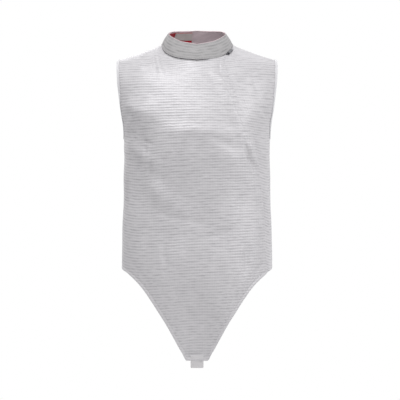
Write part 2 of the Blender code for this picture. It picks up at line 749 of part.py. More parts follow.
def make_slider_and_pull(collection, cutters):
    start, along, axis, out, drop = slider_frame()
    frame = Matrix((along, axis, out)).transposed().to_4x4()
    ear_low = EYE_HALF_LENGTH + SEAM_GAP
    top = SLIDER_SEAT + SLIDER_PLATE
    slider = box_at((SLIDER_BACK, -SLIDER_HALF_WIDTH, SLIDER_SEAT), (SLIDER_FRONT, SLIDER_HALF_WIDTH, top))
    slider.name = slider.data.name = "zip_slider"
    half_ear, ear_foot, ear_top = EAR_LENGTH / 2, SLIDER_SEAT + EAR_ROOT, AXIS_HEIGHT + EAR_RISE
    ears = [
        box_at((-half_ear, low, ear_foot), (half_ear, low + EAR_WIDTH, ear_top))
        for low in (ear_low, -ear_low - EAR_WIDTH)
    ]
    bridge = rod_at(BRIDGE_RADIUS, ear_low + EAR_WIDTH / 2, 0, AXIS_HEIGHT)
    join(slider, [*ears, bridge], "UNION", cutters)
    slider.data.materials.append(finish("zip_metal"))
    slider.matrix_world = Matrix.Translation(Vector(start) * MM) @ frame

    reach = PULL_LENGTH - PULL_HALF_WIDTH
    pull = rod_at(EYE_RADIUS, EYE_HALF_LENGTH, 0, 0, 20)
    pull.name = pull.data.name = "zip_pull"
    half = PULL_THICKNESS / 2
    side = EYE_HALF_LENGTH - MERGE
    neck = box_at((PULL_NECK_START, -side, -half), (PLATE_START + PULL_NECK_LAP, side, half))
    plate = box_at((PLATE_START, -PULL_HALF_WIDTH, -half), (reach, PULL_HALF_WIDTH, half))
    bpy.ops.mesh.primitive_cylinder_add(vertices=24, radius=PULL_HALF_WIDTH, depth=PULL_THICKNESS)
    end = bpy.context.object
    end.data.transform(Matrix.Translation((reach, 0, 0)))
    end.data.transform(Matrix.Scale(MM, 4))
    hole = rod_at(EYE_HOLE, EYE_HALF_LENGTH + 1, 0, 0, 16)
    join(pull, [neck, plate, end], "UNION", cutters)
    join(pull, [hole], "DIFFERENCE", cutters)
    pull.data.materials.append(finish("zip_metal"))
    lean = atan2(AXIS_HEIGHT - half - PULL_CLEARANCE - drop, PULL_LENGTH)
    hinge = Vector(start + out * AXIS_HEIGHT) * MM
    pull.matrix_world = Matrix.Translation(hinge) @ frame @ Matrix.Rotation(lean, 4, "Y")
    for piece in (slider, pull):
        for home in list(piece.users_collection):
            home.objects.unlink(piece)
        collection.objects.link(piece)


def build():
    for old in list(bpy.data.objects):
        bpy.data.objects.remove(old, do_unlink=True)
    part = bpy.data.collections.new("electric_foil_jacket")
    cutters = bpy.data.collections.new("cutters")
    bpy.context.scene.collection.children.link(part)
    bpy.context.scene.collection.children.link(cutters)
    make_front(part)
    make_left_side(part)
    make_back(part)
    make_zip(part)
    make_collar(part)
    make_neck_label(part)
    make_bindings(part)
    make_tab(part)
    make_slider_and_pull(part, cutters)


build()
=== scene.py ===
"""Electric foil jacket, filled out as if worn, with no wearer.

A sleeveless over-jacket of metal-woven cloth: a main front with a pointed apron and a closing flap, a left
side front, a back, a standing collar and bound armholes. The front faces -Y and the wearer's left is +X.
Lengths are in millimetres until a mesh is made.
"""
from math import cos, pi, radians, sin

import bpy
import numpy as np
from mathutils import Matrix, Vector


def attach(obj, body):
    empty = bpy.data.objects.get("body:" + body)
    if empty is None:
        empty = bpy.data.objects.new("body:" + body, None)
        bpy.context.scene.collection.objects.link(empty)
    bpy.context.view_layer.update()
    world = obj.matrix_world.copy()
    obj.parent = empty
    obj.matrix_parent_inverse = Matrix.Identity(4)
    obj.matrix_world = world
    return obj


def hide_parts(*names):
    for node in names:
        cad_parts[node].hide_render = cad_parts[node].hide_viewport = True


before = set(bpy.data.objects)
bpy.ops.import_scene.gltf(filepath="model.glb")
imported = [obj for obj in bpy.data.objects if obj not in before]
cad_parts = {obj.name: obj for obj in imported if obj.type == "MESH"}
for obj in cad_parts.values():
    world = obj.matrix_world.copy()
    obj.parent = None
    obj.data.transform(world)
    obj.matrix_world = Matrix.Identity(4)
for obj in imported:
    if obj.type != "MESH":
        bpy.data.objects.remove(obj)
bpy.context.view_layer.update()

# Main front: one piece of cloth woven with steel thread, cut from the right side seam to the edge of the
# closing flap, with the groin point in one with it. Its left margin is doubled and stands proud over the zip.
MM = 0.001
CLOTH = 1.8
SEAM_GAP = 0.3
NECK_HALF_WIDTH, NECK_FRONT, NECK_BACK = 87.0, 86.0, 80.0
NECK_SHARE = 0.384
SHOULDER_TIP_X, SHOULDER_TIP_Z, SHOULDER_DIP, SHOULDER_SAG = 194.5, -34.2, 2.8, 1.8
ARMHOLE_MIDDLE, UNDERARM, HIP, SIDE_HEM = -110.0, -225.0, -520.0, -541.0
ARMHOLE_REACH = {"front": 52.0, "back": 54.0}
ARMHOLE_DRAW = 0.5
SHOULDER_LEAD = 0.42
NECK_FAN = 30.0
CHEST_SLOPE, NAPE_SLOPE, STEEP_END = 66.0, 48.0, 1.5
FLAP_FOOT, FLAP_FULL, ZIP_INNER, ZIP_OUTER, UNDERLAP = 0.13, 0.060, 0.052, 0.0305, 0.029
FLAP_STITCH = 0.047
PUCKER_LEAN, PUCKER_WIDTH, STITCH_DRAW, STITCH_GROOVE = 0.35, 11.0, 0.3, 1.6
HEM_ROWS, HEM_TURN, HEM_TURN_REACH, HEM_STITCH, HEM_STITCH_REACH, HEM_RELIEF = 60, 3.0, 2.4, 7.5, 1.8, 0.45
HEM_DOUBLED = (5.0, 8.0)
FOLD_EDGE, FOLD_TOP, CREASE_EDGE, CREASE_TOP = 0.12, 0.3, 0.05, 0.1
SEAM_DRAW, SEAM_DRAW_AT, SEAM_DRAW_REACH = 1.1, 1.8, 1.3
PULL_SPOT, PULL_PRESS, PULL_REACH = (84.0, -34.0, -13.0), 0.9, 12.0
FACING = {"front": -1.0, "back": 1.0}


def table(text):
    """A table written as text: the first line names its columns, and each row starts with its own name."""
    lines = [line.split() for line in text.strip().splitlines()]
    columns = {heading: [] for heading in lines[0][1:]}
    for line in lines[1:]:
        for heading, value in zip(lines[0][1:], line[1:]):
            columns[heading].append(float(value))
    return {heading: np.array(values) for heading, values in columns.items()}


BODY = table("""
    section      z     half_x  front   back   square
    armhole    -110    208.0   109.0   121.0  2.25
    upper      -150    197.2   118.0   129.5  2.25
    chest      -190    184.2   124.5   133.0  2.28
    underarm   -225    177.6   127.5   131.5  2.30
    ribs       -262    177.3   126.0   126.5  2.32
    midriff    -320    178.9   119.0   115.0  2.36
    waist      -385    179.8   113.5   105.5  2.40
    flank      -450    182.2   112.5   106.5  2.40
    hip        -520    183.3   115.0   113.0  2.40
    hem        -545    183.3   115.2   115.5  2.40
    thigh      -620    183.3   112.0   116.0  2.40
    groin      -690    183.3   104.0   116.0  2.40
    point      -757    183.3    93.0   116.0  2.40
    below      -790    183.3    86.5   116.0  2.40
""")
COLLAR = table("""
    place      angle  seam_z  rim_x   rim_y   rim_z
    front        0    -42.0   71.0    -76.0   -3.0
    cheek       30    -36.0   71.0    -76.0    4.5
    jaw         60    -19.5   71.0    -76.0   19.0
    side        90      6.0   70.6      0.0   33.0
    nape_side  130     12.0   70.6     66.0   44.0
    nape       180     13.0   70.6     66.0   48.5
""")
FRONT_HEM = table("""
    place        across   z
    centre         0.0   -757.0
    tip           28.2   -757.0
    tip_corner    29.0   -753.5
    low           43.5   -725.5
    lower         58.9   -696.7
    middle        74.7   -668.3
    higher        92.7   -640.0
    thigh        110.9   -611.9
    curve        131.1   -584.0
    flank        143.5   -570.3
    turn         159.0   -556.9
    corner       170.7   -548.2
    side         180.0   -543.5
    seam         183.3   -541.0
""")
FLAP_EDGE = table("""
    place        z       x
    neck        -30.0    64.0
    collarbone  -60.0    67.8
    breast      -88.0    78.0
    chest      -145.0    99.0
    ribs       -208.0   125.0
    midriff    -255.0   141.0
    waist      -326.0   149.0
    flank      -412.0   158.5
    hip        -510.0   163.5
    hem        -545.0   165.0
""")
FRONT_FOLDS = table("""
    fold              x      z     lean  half_length  half_width  height
    side_hollow     -140   -285     -14      72          15        -4.2
    side_roll       -171   -330      -4      48           9         2.8
    pinch           -126   -252       6      24           6        -2.4
    waist_right      -86   -312     -10      36           8        -2.0
    hip_right        -76   -515       2      36           7        -2.2
    breast_left       66   -243      72      34          13        -3.0
    waist_left       100   -385      -8      40           9        -2.2
    hip_left         117   -508       0      38           7        -2.4
    point_dent       -94   -580      12      16           8        -1.6
    shoulder_right  -128    -45      38      34           8        -2.2
    armhole_left     137    -92      14      30           7        -2.0
    shoulder_left    118    -30     -26      24           7        -1.8
""")
FRONT_CREASES = table("""
    crease            x      z     lean  half_length  half_width  height
    side_edge       -113   -290      -4      60          6.0       -2.8
    front_edge       -72   -345      -2      52          6.0       -0.9
    flap_drag        122   -272      15      36          4.5       -3.4
    flap_roll        133   -268      14      30          5.0        2.6
    flap_tail        128   -330       8      30          4.0       -0.9
    notch           -120   -238      62      11          4.0       -2.4
    hip_roll         -87   -512       2      32          5.5        1.1
    hip_left_roll    108   -505       0      32          5.0        1.0
    chest_pull        84   -128     -20      30          5.0       -0.9
    breast_drag       52   -240      76      34         12.0        1.2
    yoke_right      -104    -38      12      30          5.0       -2.2
    yoke_roll        -92    -46      16      24          6.0        1.9
    armpit_right    -164   -176     -34      34          6.5       -1.7
    armpit_left      163   -170      32      34          6.5       -1.7
    rib_right       -158   -222     -52      26          5.5       -1.2
    belly_right      -36   -420      76      50          9.0       -1.5
    belly_left        54   -455     -74      44          8.0       -1.5
    apron_right      -50   -602      14      34          6.0       -0.7
    apron_left        56   -628     -12      38          6.0       -0.8
    hem_corner       152   -532     -38      20          5.0       -1.3
    breast_line       10   -211      88      85         14.0        2.5
    breast_right    -134   -165       0      36         44.0        6.5
    breast_left      140   -160       0      30         40.0        2.2
    hollow_right    -148   -335      -4      95         40.0       -8.5
    edge_roll       -182   -345      -2     110         15.0        5.0
    apron_hollow     -10   -650       0      80         38.0       -6.0
    tip_turn           0   -744      90      40          8.0       -2.6
    drape_upper     -146   -158      62      30         13.0        3.0
    drape_middle    -128   -272      55      46         17.0        5.0
    drape_lower      -84   -365      50      48         20.0        4.0
    collar_pull       72    -36     -30      12          5.0       -1.6
    ripple_inner      53    -48       2      14          2.4       -0.8
    ripple_roll       58    -48       3      14          2.4        0.8
    ripple_outer      64    -50       4      14          2.6       -0.9
    flap_dent         76    -78      84      10          4.0       -1.2
""")
FLAP_PUCKERS = table("""
    pucker     z     reach  height
    first     -52     7      1.3
    second    -71     6     -1.3
    third     -88     8      1.1
    fourth   -109     7     -0.8
    fifth    -133     8      0.5
    sixth    -158     7     -0.7
    seventh  -186     9      0.6
    eighth   -214     7     -0.8
    ninth    -247     8      0.7
    tenth    -289     9     -0.7
    eleventh -334     9      0.5
    twelfth  -381     8     -0.6
    next     -433     9      0.5
    last     -486     8     -0.6
""")


def curve(x, y, at):
    """A smooth curve through the points (x, y) that never overshoots them, read at the given places."""
    order = np.argsort(x)
    x, y = np.asarray(x, float)[order], np.asarray(y, float)[order]
    rise = np.diff(y) / np.diff(x)
    slope = np.zeros(len(x))
    slope[0], slope[-1] = rise[0], rise[-1]
    both = rise[:-1] * rise[1:] > 0
    slope[1:-1][both] = 2 * rise[:-1][both] * rise[1:][both] / (rise[:-1][both] + rise[1:][both])
    at = np.clip(at, x[0], x[-1])
    span = np.clip(np.searchsorted(x, at, side="right") - 1, 0, len(x) - 2)
    width = x[span + 1] - x[span]
    t = (at - x[span]) / width
    return (
        y[span] * (1 + 2 * t) * (1 - t) ** 2
        + y[span + 1] * (3 - 2 * t) * t**2
        + slope[span] * width * t * (1 - t) ** 2
        - slope[span + 1] * width * (1 - t) * t**2
    )


def body(column, z):
    """One column of the body's table at height z."""
    return float(curve(BODY["z"], BODY[column], z))


def ease(low, high, value):
    """0 below low, 1 above high, and a soft step between."""
    t = np.clip((value - low) / (high - low), 0, 1)
    return t * t * (3 - 2 * t)


def collar_height(column, angle):
    """A height from the collar's table, the same on both sides of the neck."""
    turn = np.abs((np.asarray(angle, float) + 180) % 360 - 180)
    return curve(COLLAR["angle"], COLLAR[column], turn)


def neck_seam(angle):
    """Points of the seam where the collar meets the panels, by angle from the centre front."""
    turn = np.radians(angle)
    reach = np.where(np.cos(turn) > 0, NECK_FRONT, NECK_BACK)
    x, y = NECK_HALF_WIDTH * np.sin(turn), -reach * np.cos(turn)
    return np.stack([x, y, collar_height("seam_z", angle)], -1)


def level_row(side, z, u):
    """Points of a level row: u is -1 and 1 at the panel's side edges and 0 at its centre. Beside an armhole
    only the columns near the edge draw in."""
    power = body("square", z)
    down = min(1.0, (ARMHOLE_MIDDLE - z) / (ARMHOLE_MIDDLE - UNDERARM))
    edge_y = ARMHOLE_REACH[side] * max(0.0, 1 - down * down) ** 0.5
    turn = np.linspace(0, np.pi / 2, 320)
    x = body("half_x", z) * np.sin(turn) ** (2 / power)
    y = body(side, z) * np.abs(np.cos(turn)) ** (2 / power)
    y[-1] = 0
    run = np.concatenate([[0], np.cumsum(np.hypot(np.diff(x), np.diff(y)))])
    share = np.abs(u) * run[-1]
    if edge_y > 0:
        cut = run[-1] - np.interp(edge_y, y[::-1], run[::-1])
        share = share - cut * np.abs(u) ** (ARMHOLE_DRAW * run[-1] / cut)
    along = np.sign(u) * np.interp(share, run, x)
    return np.stack([along, FACING[side] * np.interp(share, run, y), np.full(len(u), z)], -1)


def top_edge(side, u):
    """Points of a panel's top edge: half the neckline in the middle, a shoulder seam on each side."""
    share, sign = np.abs(u), np.where(u < 0, -1, 1)
    angle = 90 * np.minimum(share / NECK_SHARE, 1)
    neck = neck_seam(angle if side == "front" else 180 - angle)
    out = np.clip((share - NECK_SHARE) / (1 - NECK_SHARE), 0, 1)
    neck_z = neck_seam(90.0)[2]
    x = np.where(share < NECK_SHARE, neck[:, 0], NECK_HALF_WIDTH + out * (SHOULDER_TIP_X - NECK_HALF_WIDTH))
    y = np.where(share < NECK_SHARE, neck[:, 1], 0)
    sag = SHOULDER_DIP * (1 - np.exp(-out * 12)) * (1 - out) + SHOULDER_SAG * np.sin(np.pi * out)
    z = np.where(share < NECK_SHARE, neck[:, 2], neck_z + out * (SHOULDER_TIP_Z - neck_z) - sag)
    return np.stack([sign * x, y, z], -1)


def top_lead(side, u):
    """Unit directions in which the cloth leaves the top edge: steep below the neck's middle, level over the
    shoulder seam, and fanned outwards beside the neck."""
    share, sign = np.abs(u), np.where(u < 0, -1, 1)
    out = np.clip((share - NECK_SHARE) / (1 - NECK_SHARE), 0, 1)
    shoulder_fall = (neck_seam(90.0)[2] - SHOULDER_TIP_Z) / (SHOULDER_TIP_X - NECK_HALF_WIDTH)
    fan = np.radians(NECK_FAN) * np.where(share < NECK_SHARE, share / NECK_SHARE, 1 - ease(0, 0.8, out))
    middle = CHEST_SLOPE if side == "front" else NAPE_SLOPE
    steep = np.tan(np.radians(middle * (1 - ease(0, STEEP_END, share / NECK_SHARE))))
    fall = steep + shoulder_fall * np.sin(fan)
    lead = np.stack([sign * np.sin(fan), FACING[side] * np.cos(fan), -fall], -1)
    return lead / np.linalg.norm(lead, axis=1)[:, None]


def smooth_row(side, v, u):
    """Points of a row with no folds. v is 0 at the top edge, 1 at the armhole's middle, 2 at the underarm,
    3 at the hip and 4 at the hem."""
    u = np.asarray(u, float)
    if v < 1:
        top, foot = top_edge(side, u), level_row(side, ARMHOLE_MIDDLE, u)
        under = level_row(side, ARMHOLE_MIDDLE - 8, u)
        lead = SHOULDER_LEAD * np.linalg.norm(top - foot, axis=1)[:, None]
        rising = (foot - under) / np.linalg.norm(foot - under, axis=1)[:, None]
        after, before = top + lead * top_lead(side, u), foot + lead * rising
        w = 1 - v
        return w**3 * top + 3 * w * w * v * after + 3 * w * v * v * before + v**3 * foot
    if v < 2:
        return level_row(side, ARMHOLE_MIDDLE + sin(radians(90 * (v - 1))) * (UNDERARM - ARMHOLE_MIDDLE), u)
    if v < 3:
        return level_row(side, UNDERARM + (v - 2) * (HIP - UNDERARM), u)
    points = level_row(side, HIP, u)
    hem = curve(FRONT_HEM["across"], FRONT_HEM["z"], np.abs(points[:, 0])) if side == "front" else SIDE_HEM
    points[:, 2] += (v - 3) * (hem - HIP)
    points[:, 1] *= curve(BODY["z"], BODY[side], points[:, 2]) / body(side, HIP)
    return points


def flap_share(v):
    """The u of the flap's free edge on the front in row v."""
    u = np.linspace(0, 0.98, 400)
    points = smooth_row("front", v, u)
    past = points[:, 0] - curve(FLAP_EDGE["z"], FLAP_EDGE["x"], points[:, 2])
    i = int(np.argmax(past > 0))
    return u[i - 1] + (u[i] - u[i - 1]) * past[i - 1] / (past[i - 1] - past[i])


def front_share(v, stations):
    """u on the main front: stations run from 0 at the right side seam to 1 at the flap's free edge."""
    return -1 + np.asarray(stations, float) * (1 + flap_share(v))


def fold_height(points, folds):
    """How far folds move points of a panel out."""
    total = np.zeros(points.shape[:-1])
    for x, z, lean, half_length, half_width, height in zip(*(folds[heading] for heading in folds)):
        dx, dz = points[..., 0] - x, points[..., 2] - z
        across = (dx * cos(radians(lean)) + dz * sin(radians(lean))) / half_width
        along = (dz * cos(radians(lean)) - dx * sin(radians(lean))) / half_length
        total += height * np.exp(-across * across - along * along)
    return total


def slack(points):
    """The slow unevenness of cloth that hangs with nothing under it."""
    x, z, y = points[..., 0] / 1000, points[..., 2] / 1000, points[..., 1] / 1000
    return (
        0.45 * np.sin(53 * x + 17 * z + 1.3 + 20 * y) * np.sin(31 * z + 0.4)
        + 0.35 * np.sin(-37 * x + 44 * z + 2.1) * np.sin(23 * z - 19 * x + 0.9)
        + 0.22 * np.sin(88 * x + 9 * z + 0.7) * np.sin(61 * z - 12 * x + 30 * y)
    )


def outward(points, facing):
    """The outward direction at each point of a grid of rows and columns."""
    out = np.cross(np.gradient(points, axis=1), np.gradient(points, axis=0)) * facing
    return out / np.linalg.norm(out, axis=-1)[..., None]


def even_rows(top, armhole, torso, apron):
    """Values of v down a panel, closest together at its top edge and its hem."""
    under = 1 + np.degrees(np.arcsin(np.arange(1, armhole + 1) / armhole)) / 90
    over, down = (np.arange(top) / top) ** 1.5, 2 + np.arange(1, torso + 1) / torso
    hem = 4 - (1 - np.arange(1, apron + 1) / apron) ** 1.4
    return np.concatenate([over, [1], under, down, hem])


def from_edge(points, edge):
    """The distance of each point of a grid from an edge's points."""
    return np.array([np.linalg.norm(row[:, None] - edge[None], axis=2).min(axis=1) for row in points])


def panel_grid(side, rows, shares, creases):
    """The outer face of a panel, its outward directions and its lengths along the weave. The neck seam and
    the zip's pull press it in."""
    u = np.array([shares(v) for v in rows])
    points = np.array([smooth_row(side, v, row) for v, row in zip(rows, u)])
    smooth_out = outward(points, FACING[side])
    level = np.searchsorted(rows, 1)
    across = np.cumsum(np.linalg.norm(np.diff(points, axis=1, prepend=points[:, :1]), axis=-1), axis=1)
    middle = np.array([np.interp(0, row, length) for row, length in zip(u, across)])
    down = np.cumsum(np.linalg.norm(np.diff(points, axis=0, prepend=points[:1]), axis=-1), axis=0)
    weave = np.stack([across - middle[:, None], down[level] - down], -1)
    folded = ease(0, FOLD_EDGE, 1 - np.abs(u)) * ease(0, FOLD_TOP, rows)[:, None]
    creased = ease(0, CREASE_EDGE, 1 - np.abs(u)) * ease(0, CREASE_TOP, rows)[:, None]
    fine = fold_height(points, creases) + slack(points)
    height = folded * fold_height(points, FOLDS[side]) + creased * fine
    seam_side = np.exp(-(((down - SEAM_DRAW_AT) / SEAM_DRAW_REACH) ** 2))
    height -= SEAM_DRAW * seam_side * (np.abs(u) < NECK_SHARE)
    height -= PULL_PRESS * np.exp(-((np.linalg.norm(points - PULL_SPOT, axis=-1) / PULL_REACH) ** 2))
    points = points + smooth_out * height[..., None]
    points[..., 1] += FACING[side] * SEAM_GAP / 2
    return points, outward(points, FACING[side]), weave


def lay_weave(mesh, lengths):
    """Puts the weave on a mesh: each point's lengths along it, in millimetres, as metres in its map."""
    corner = np.empty(len(mesh.loops), np.int32)
    mesh.loops.foreach_get("vertex_index", corner)
    flat = (lengths.reshape(-1, 2) * MM)[corner]
    mesh.uv_layers.new(name="weave").uv.foreach_set("vector", flat.astype(np.float32).ravel())


def wall_mesh(name, outer, inner, weave, doubled=None):
    """A closed cloth wall between two grids of points; doubled is 1 where it is turned in on itself."""
    rows, columns = outer.shape[:2]
    count = rows * columns
    at = np.arange(count).reshape(rows, columns)
    face = np.stack([at[:-1, :-1], at[:-1, 1:], at[1:, 1:], at[1:, :-1]], -1).reshape(-1, 4)
    edge = np.concatenate([at[0, ::-1], at[1:, 0], at[-1, 1:], at[-2:0:-1, -1]])
    around = np.stack([edge, np.roll(edge, -1)], -1)
    rim = np.stack([around[:, 1], around[:, 0], around[:, 0] + count, around[:, 1] + count], -1)
    faces = np.concatenate([face, face[:, ::-1] + count, rim[:, ::-1]])
    mesh = bpy.data.meshes.new(name)
    points = np.concatenate([outer.reshape(-1, 3), inner.reshape(-1, 3)]) * MM
    mesh.from_pydata(points.tolist(), [], faces.tolist())
    lay_weave(mesh, np.concatenate([weave, weave]))
    if doubled is not None:
        both = np.concatenate([doubled.ravel(), doubled.ravel()]).astype(np.float32)
        mesh.attributes.new("doubled", "FLOAT", "POINT").data.foreach_set("value", both)
    row, column = rows // 2, columns // 2
    here = outer[row, column]
    turned = np.cross(outer[row, column + 1] - here, outer[row + 1, column] - here)
    if np.dot(here - inner[row, column], turned) < 0:
        mesh.flip_normals()
    mesh.shade_smooth()
    mesh.set_sharp_from_angle(angle=radians(60))
    return mesh


def colour(code):
    """An sRGB hex colour as linear red, green, blue and alpha."""
    parts = [int(code[i : i + 2], 16) / 255 for i in (1, 3, 5)]
    return (*[p / 12.92 if p <= 0.04045 else ((p + 0.055) / 1.055) ** 2.4 for p in parts], 1.0)


def add(tree, kind, inputs=None, **settings):
    """A shader node with its settings, and its inputs set or linked."""
    made = tree.nodes.new(kind)
    for name, value in settings.items():
        setattr(made, name, value)
    for name, value in (inputs or {}).items():
        if isinstance(value, bpy.types.NodeSocket):
            tree.links.new(value, made.inputs[name])
        else:
            made.inputs[name].default_value = value
    return made


def new_material(name, **values):
    """A material with its shader's own values set, and that shader."""
    material = bpy.data.materials.new(name)
    material.use_nodes = True
    shader = material.node_tree.nodes["Principled BSDF"]
    for socket, value in values.items():
        shader.inputs[socket.replace("_", " ")].default_value = value
    return material, shader


def finish_cloth(shader, tone, light, dark, height, strength, distance):
    """Gives cloth its colour, from dark to light with its tone, and the relief of its threads."""
    tree = shader.id_data
    shade = add(tree, "ShaderNodeMix", {0: tone, 6: colour(dark), 7: colour(light)}, data_type="RGBA")
    raised = add(tree, "ShaderNodeBump", {"Height": height, "Strength": strength, "Distance": distance})
    tree.links.new(shade.outputs[2], shader.inputs["Base Color"])
    tree.links.new(raised.outputs["Normal"], shader.inputs["Normal"])


def metal_cloth(name, light, dark, roughness=0.5, metallic=0.3, rib=6.7, rib_bump=0.35, uneven=1.0):
    """Plain-woven cloth of polyester and fine steel thread. The heavier weft shows as level ribs with dark
    lines between them, stronger in one place and weaker in the next, the warp as faint upright lines, and the
    steel gives a broad soft sheen. Real threads are 0.3 mm: the ribs are groups of them, as coarse as the eye
    sees from across a room. Where the cloth is doubled at a hem its ribs show less."""
    material, shader = new_material(name, Roughness=roughness, Metallic=metallic)
    tree = material.node_tree
    cloth = add(tree, "ShaderNodeUVMap", uv_map="weave").outputs["UV"]
    bands = 2 * pi / (20 * rib * MM)
    weft = add(
        tree, "ShaderNodeTexWave",
        {"Vector": cloth, "Scale": bands, "Distortion": 1.5, "Detail": 3.0, "Detail Scale": 0.5},
        bands_direction="Y",
    ).outputs["Fac"]
    warp = add(
        tree, "ShaderNodeTexWave",
        {"Vector": cloth, "Scale": bands * 1.1, "Distortion": 2.0, "Detail": 2.0, "Detail Scale": 0.4},
        bands_direction="X",
    ).outputs["Fac"]
    long = add(tree, "ShaderNodeMapping", {"Vector": cloth, "Scale": (0.28, 1.0, 1.0)}).outputs["Vector"]
    streak = add(tree, "ShaderNodeTexNoise", {"Vector": long, "Scale": 150.0, "Detail": 3.0}).outputs["Fac"]
    slub = add(tree, "ShaderNodeTexNoise", {"Vector": long, "Scale": 420.0, "Detail": 2.0}).outputs["Fac"]
    cloud = add(tree, "ShaderNodeTexNoise", {"Vector": cloth, "Scale": 9.0, "Detail": 2.0}).outputs["Fac"]
    hem = add(tree, "ShaderNodeAttribute", attribute_name="doubled").outputs["Fac"]
    change = 0.8 * uneven
    depth = add(
        tree, "ShaderNodeMapRange",
        {"Value": streak, "From Min": 0.32, "From Max": 0.68, "To Min": 1.0 - change, "To Max": 1.0 + change},
    ).outputs[0]
    line = add(tree, "ShaderNodeMath", {0: weft, 1: depth}, operation="MULTIPLY").outputs[0]
    faint = add(tree, "ShaderNodeMath", {0: hem, 1: -0.6, 2: 1.0}, operation="MULTIPLY_ADD").outputs[0]
    drawn = add(tree, "ShaderNodeMath", {0: line, 1: faint}, operation="MULTIPLY").outputs[0]
    base = add(tree, "ShaderNodeMath", {0: cloud, 1: 0.3, 2: 0.5}, operation="MULTIPLY_ADD").outputs[0]
    grid = add(tree, "ShaderNodeMath", {0: warp, 1: 0.06, 2: base}, operation="MULTIPLY_ADD").outputs[0]
    worn = add(tree, "ShaderNodeMath", {0: slub, 1: 0.3, 2: grid}, operation="MULTIPLY_ADD").outputs[0]
    tone = add(tree, "ShaderNodeMath", {0: drawn, 1: -0.32, 2: worn}, operation="MULTIPLY_ADD",
               use_clamp=True)
    finish_cloth(shader, tone.outputs[0], light, dark, weft, rib_bump, -0.0008)
    return material


def put(name, mesh, material, node=None):
    """A piece that moves with the garment, in its material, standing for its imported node."""
    piece = bpy.data.objects.new(name, mesh)
    mesh.materials.append(material)
    bpy.context.scene.collection.objects.link(piece)
    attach(piece, "garment")
    if node:
        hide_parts(node)
    return piece


FOLDS = {"front": FRONT_FOLDS}
FINE_ROWS = even_rows(34, 30, 70, 58)
FRONT_STATIONS = np.unique(np.concatenate([
    [0, 0.004], np.linspace(0.01, 0.9, 96), np.linspace(0.9, 0.985, 30), [0.99, 0.996, 1]
]))
shares = {v: front_share(v, FRONT_STATIONS) for v in FINE_ROWS}
smooth, out, weave = panel_grid("front", FINE_ROWS, shares.get, FRONT_CREASES)
doubled = (CLOTH + SEAM_GAP) * ease(1 - FLAP_FOOT, 1 - FLAP_FULL, FRONT_STATIONS)
width = weave[:, -1:, 0] - weave[:, :1, 0]
from_stitch = (FRONT_STATIONS - (1 - FLAP_STITCH)) * width
drawn = np.zeros(smooth.shape[:2])
for z, reach, height in zip(FLAP_PUCKERS["z"], FLAP_PUCKERS["reach"], FLAP_PUCKERS["height"]):
    along = (smooth[..., 2] - z + PUCKER_LEAN * from_stitch) / reach
    drawn += height * np.exp(-(along**2) - (from_stitch / PUCKER_WIDTH) ** 2)
groove = -STITCH_DRAW * np.exp(-((from_stitch / STITCH_GROOVE) ** 2))
hem_at = np.repeat(smooth[-1], 3, axis=0)
thirds = np.tile([0, 1 / 3, 2 / 3], len(smooth[-1]) - 1)[:, None]
hem_at[:-3] += np.repeat(np.diff(smooth[-1], axis=0), 3, axis=0) * thirds
into = np.full(smooth.shape[:2], 100.0)
into[-HEM_ROWS:] = from_edge(smooth[-HEM_ROWS:], hem_at)
turned_edge = HEM_RELIEF * np.exp(-(((into - HEM_TURN) / HEM_TURN_REACH) ** 2))
sewn_line = HEM_RELIEF * np.exp(-(((into - HEM_STITCH) / HEM_STITCH_REACH) ** 2))
relief = doubled + drawn + groove + (turned_edge - sewn_line)
front_outer = smooth + out * relief[..., None]
front_out = outward(front_outer, -1.0)
front_inner = smooth + out * (relief - CLOTH)[..., None]
lame = metal_cloth("cloth woven with steel thread", "#e2e0e3", "#a6a4a8", roughness=0.48, metallic=0.24)
main_front = put(
    "main_front", wall_mesh("main_front", front_outer, front_inner, weave, 1 - ease(*HEM_DOUBLED, into)),
    lame, "front_panel",
)

# Left side front: the same cloth, from the zip to the left side seam and the left shoulder. Its front edge
# lies flat under the flap, where the zip is sewn to it.
SIDE_ROWS = even_rows(34, 30, 70, 6)
SIDE_STATIONS = np.concatenate([np.linspace(0, 0.98, 42), [0.99, 1]])


def side_shares(v):
    """u on the left side front: its underlap, then from the flap's free edge to the side seam."""
    free = flap_share(v)
    under = front_share(v, [1 - UNDERLAP, 1 - UNDERLAP / 2])
    return np.concatenate([under, free + SIDE_STATIONS * (1 - free)])


shares = {v: side_shares(v) for v in SIDE_ROWS}
side_outer, side_out, weave = panel_grid("front", SIDE_ROWS, shares.get, FRONT_CREASES)
left_side_front = put(
    "left_side_front", wall_mesh("left_side_front", side_outer, side_outer - side_out * CLOTH, weave),
    lame, "left_side_panel",
)

